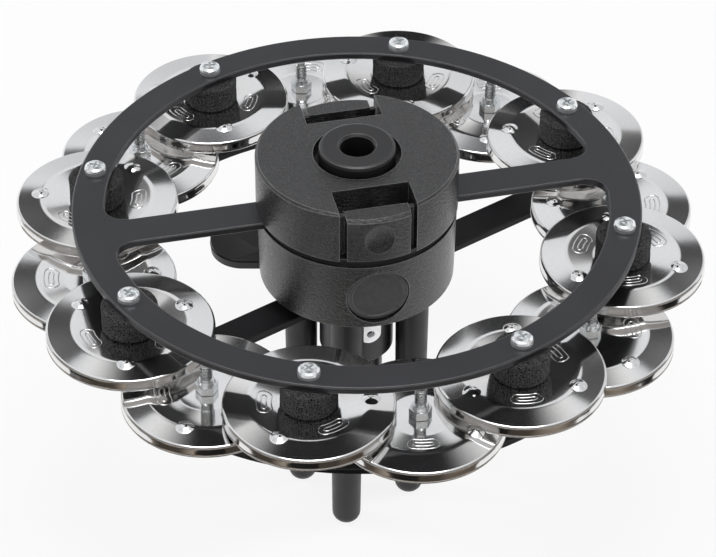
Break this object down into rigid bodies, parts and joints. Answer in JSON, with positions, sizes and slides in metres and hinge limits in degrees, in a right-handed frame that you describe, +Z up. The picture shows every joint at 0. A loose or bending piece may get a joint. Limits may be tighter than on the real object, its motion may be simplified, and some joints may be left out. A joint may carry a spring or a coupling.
{
  "type": "hi-hat tambourine",
  "caption": "Hi-hat tambourine: two black ring frames with steel jingles on foam, a squeeze-tab hub on guide legs above, and a clamped column below that sits on the stand.",
  "frame": {"origin": "centre of the lower mouth of the column's bore, where it goes over the stand's tube", "axes": "+Z up along the pull rod, +X along the upper frame's spokes, -Y towards the front squeeze tab"},
  "size_m": [0.256, 0.256, 0.1661],
  "materials": {
    "frame_black": "satin black powder coat",
    "hub_plastic": "black, fine moulded grain",
    "bushing_black": "black, semi-matt",
    "badge_plain": "black, plain",
    "leg_plastic": "black, matt",
    "tab_plastic": "black, matt",
    "lock_steel": "plain steel",
    "spring_steel": "blackened spring wire",
    "column_black": "satin black",
    "bumper_rubber": "black rubber",
    "lever_plastic": "black, matt",
    "shoe_brass": "plain brass",
    "lug_bright": "polished",
    "zinc": "bright zinc plate",
    "foam": "black open-cell foam",
    "jingle_nickel": "polished nickel-plated steel"
  },
  "bodies": {
    "lower_unit": {"lower_frame": "frame_black", "lower_column": "column_black", "column_nut": "zinc", "bumper": "bumper_rubber", "lever_pin": "zinc", "collar_lug": "lug_bright", "lower_screws": "zinc", "lower_nuts": "zinc", "lower_foam_1": "foam", "lower_foam_2": "foam", "lower_foam_3": "foam", "lower_foam_4": "foam", "lower_foam_5": "foam", "lower_foam_6": "foam", "lower_foam_7": "foam", "lower_foam_8": "foam"},
    "upper_unit": {"upper_frame": "frame_black", "hub_cap": "hub_plastic", "hub_housing": "hub_plastic", "rod_bushing": "bushing_black", "hub_badge": "badge_plain", "hub_screws": "zinc", "guide_leg_1": "leg_plastic", "guide_leg_2": "leg_plastic", "guide_leg_3": "leg_plastic", "guide_leg_4": "leg_plastic", "tab_spring_front": "spring_steel", "tab_spring_rear": "spring_steel", "upper_screws": "zinc", "upper_nuts": "zinc", "upper_foam_1": "foam", "upper_foam_2": "foam", "upper_foam_3": "foam", "upper_foam_4": "foam", "upper_foam_5": "foam", "upper_foam_6": "foam", "upper_foam_7": "foam", "upper_foam_8": "foam"},
    "tab_front": {"tab_front": "tab_plastic", "lock_plate_front": "lock_steel"},
    "tab_rear": {"tab_rear": "tab_plastic", "lock_plate_rear": "lock_steel"},
    "clamp_lever": {"clamp_lever": "lever_plastic"},
    "clamp_shoe": {"clamp_shoe": "shoe_brass"},
    "upper_jingle_1": {"upper_jingle_1": "jingle_nickel"},
    "upper_jingle_2": {"upper_jingle_2": "jingle_nickel"},
    "upper_jingle_3": {"upper_jingle_3": "jingle_nickel"},
    "upper_jingle_4": {"upper_jingle_4": "jingle_nickel"},
    "upper_jingle_5": {"upper_jingle_5": "jingle_nickel"},
    "upper_jingle_6": {"upper_jingle_6": "jingle_nickel"},
    "upper_jingle_7": {"upper_jingle_7": "jingle_nickel"},
    "upper_jingle_8": {"upper_jingle_8": "jingle_nickel"},
    "lower_jingle_1": {"lower_jingle_1": "jingle_nickel"},
    "lower_jingle_2": {"lower_jingle_2": "jingle_nickel"},
    "lower_jingle_3": {"lower_jingle_3": "jingle_nickel"},
    "lower_jingle_4": {"lower_jingle_4": "jingle_nickel"},
    "lower_jingle_5": {"lower_jingle_5": "jingle_nickel"},
    "lower_jingle_6": {"lower_jingle_6": "jingle_nickel"},
    "lower_jingle_7": {"lower_jingle_7": "jingle_nickel"},
    "lower_jingle_8": {"lower_jingle_8": "jingle_nickel"}
  },
  "joints": [
    {"name": "hat_slide", "type": "slide", "parent": "lower_unit", "child": "upper_unit", "axis": [0, 0, 1], "range_m": [0, 0.045]},
    {"name": "tab_front_press", "type": "slide", "parent": "upper_unit", "child": "tab_front", "axis": [0, 1, 0], "range_m": [0, 0.004], "stiffness_N_per_m": 600, "springref_m": -0.002, "deforming": ["tab_spring_front"]},
    {"name": "tab_rear_press", "type": "slide", "parent": "upper_unit", "child": "tab_rear", "axis": [0, -1, 0], "range_m": [0, 0.004], "stiffness_N_per_m": 600, "springref_m": -0.002, "deforming": ["tab_spring_rear"]},
    {"name": "clamp_lever_swing", "type": "hinge", "parent": "lower_unit", "child": "clamp_lever", "pos_m": [-0.0116, 0.01786, 0.049], "axis": [0, 0, 1], "range_deg": [-68, 0]},
    {"name": "clamp_shoe_slide", "type": "slide", "parent": "lower_unit", "child": "clamp_shoe", "axis": [-0.5446, 0.8387, 0], "range_m": [0, 0.0003]},
    {"name": "upper_jingle_1_press", "type": "slide", "parent": "upper_unit", "child": "upper_jingle_1", "axis": [0, 0, 1], "range_m": [0, 0.0025], "stiffness_N_per_m": 300, "springref_m": -0.001, "deforming": ["upper_foam_1"]},
    {"name": "upper_jingle_2_press", "type": "slide", "parent": "upper_unit", "child": "upper_jingle_2", "axis": [0, 0, 1], "range_m": [0, 0.0025], "stiffness_N_per_m": 300, "springref_m": -0.001, "deforming": ["upper_foam_2"]},
    {"name": "upper_jingle_3_press", "type": "slide", "parent": "upper_unit", "child": "upper_jingle_3", "axis": [0, 0, 1], "range_m": [0, 0.0025], "stiffness_N_per_m": 300, "springref_m": -0.001, "deforming": ["upper_foam_3"]},
    {"name": "upper_jingle_4_press", "type": "slide", "parent": "upper_unit", "child": "upper_jingle_4", "axis": [0, 0, 1], "range_m": [0, 0.0025], "stiffness_N_per_m": 300, "springref_m": -0.001, "deforming": ["upper_foam_4"]},
    {"name": "upper_jingle_5_press", "type": "slide", "parent": "upper_unit", "child": "upper_jingle_5", "axis": [0, 0, 1], "range_m": [0, 0.0025], "stiffness_N_per_m": 300, "springref_m": -0.001, "deforming": ["upper_foam_5"]},
    {"name": "upper_jingle_6_press", "type": "slide", "parent": "upper_unit", "child": "upper_jingle_6", "axis": [0, 0, 1], "range_m": [0, 0.0025], "stiffness_N_per_m": 300, "springref_m": -0.001, "deforming": ["upper_foam_6"]},
    {"name": "upper_jingle_7_press", "type": "slide", "parent": "upper_unit", "child": "upper_jingle_7", "axis": [0, 0, 1], "range_m": [0, 0.0025], "stiffness_N_per_m": 300, "springref_m": -0.001, "deforming": ["upper_foam_7"]},
    {"name": "upper_jingle_8_press", "type": "slide", "parent": "upper_unit", "child": "upper_jingle_8", "axis": [0, 0, 1], "range_m": [0, 0.0025], "stiffness_N_per_m": 300, "springref_m": -0.001, "deforming": ["upper_foam_8"]},
    {"name": "lower_jingle_1_press", "type": "slide", "parent": "lower_unit", "child": "lower_jingle_1", "axis": [0, 0, -1], "range_m": [0, 0.0025], "stiffness_N_per_m": 300, "springref_m": -0.0015, "deforming": ["lower_foam_1"]},
    {"name": "lower_jingle_2_press", "type": "slide", "parent": "lower_unit", "child": "lower_jingle_2", "axis": [0, 0, -1], "range_m": [0, 0.0025], "stiffness_N_per_m": 300, "springref_m": -0.0015, "deforming": ["lower_foam_2"]},
    {"name": "lower_jingle_3_press", "type": "slide", "parent": "lower_unit", "child": "lower_jingle_3", "axis": [0, 0, -1], "range_m": [0, 0.0025], "stiffness_N_per_m": 300, "springref_m": -0.0015, "deforming": ["lower_foam_3"]},
    {"name": "lower_jingle_4_press", "type": "slide", "parent": "lower_unit", "child": "lower_jingle_4", "axis": [0, 0, -1], "range_m": [0, 0.0025], "stiffness_N_per_m": 300, "springref_m": -0.0015, "deforming": ["lower_foam_4"]},
    {"name": "lower_jingle_5_press", "type": "slide", "parent": "lower_unit", "child": "lower_jingle_5", "axis": [0, 0, -1], "range_m": [0, 0.0025], "stiffness_N_per_m": 300, "springref_m": -0.0015, "deforming": ["lower_foam_5"]},
    {"name": "lower_jingle_6_press", "type": "slide", "parent": "lower_unit", "child": "lower_jingle_6", "axis": [0, 0, -1], "range_m": [0, 0.0025], "stiffness_N_per_m": 300, "springref_m": -0.0015, "deforming": ["lower_foam_6"]},
    {"name": "lower_jingle_7_press", "type": "slide", "parent": "lower_unit", "child": "lower_jingle_7", "axis": [0, 0, -1], "range_m": [0, 0.0025], "stiffness_N_per_m": 300, "springref_m": -0.0015, "deforming": ["lower_foam_7"]},
    {"name": "lower_jingle_8_press", "type": "slide", "parent": "lower_unit", "child": "lower_jingle_8", "axis": [0, 0, -1], "range_m": [0, 0.0025], "stiffness_N_per_m": 300, "springref_m": -0.0015, "deforming": ["lower_foam_8"]}
  ],
  "couplings": [
    {"joint": "clamp_shoe_slide", "follows": "clamp_lever_swing", "m_per_rad": -0.000253}
  ]
}
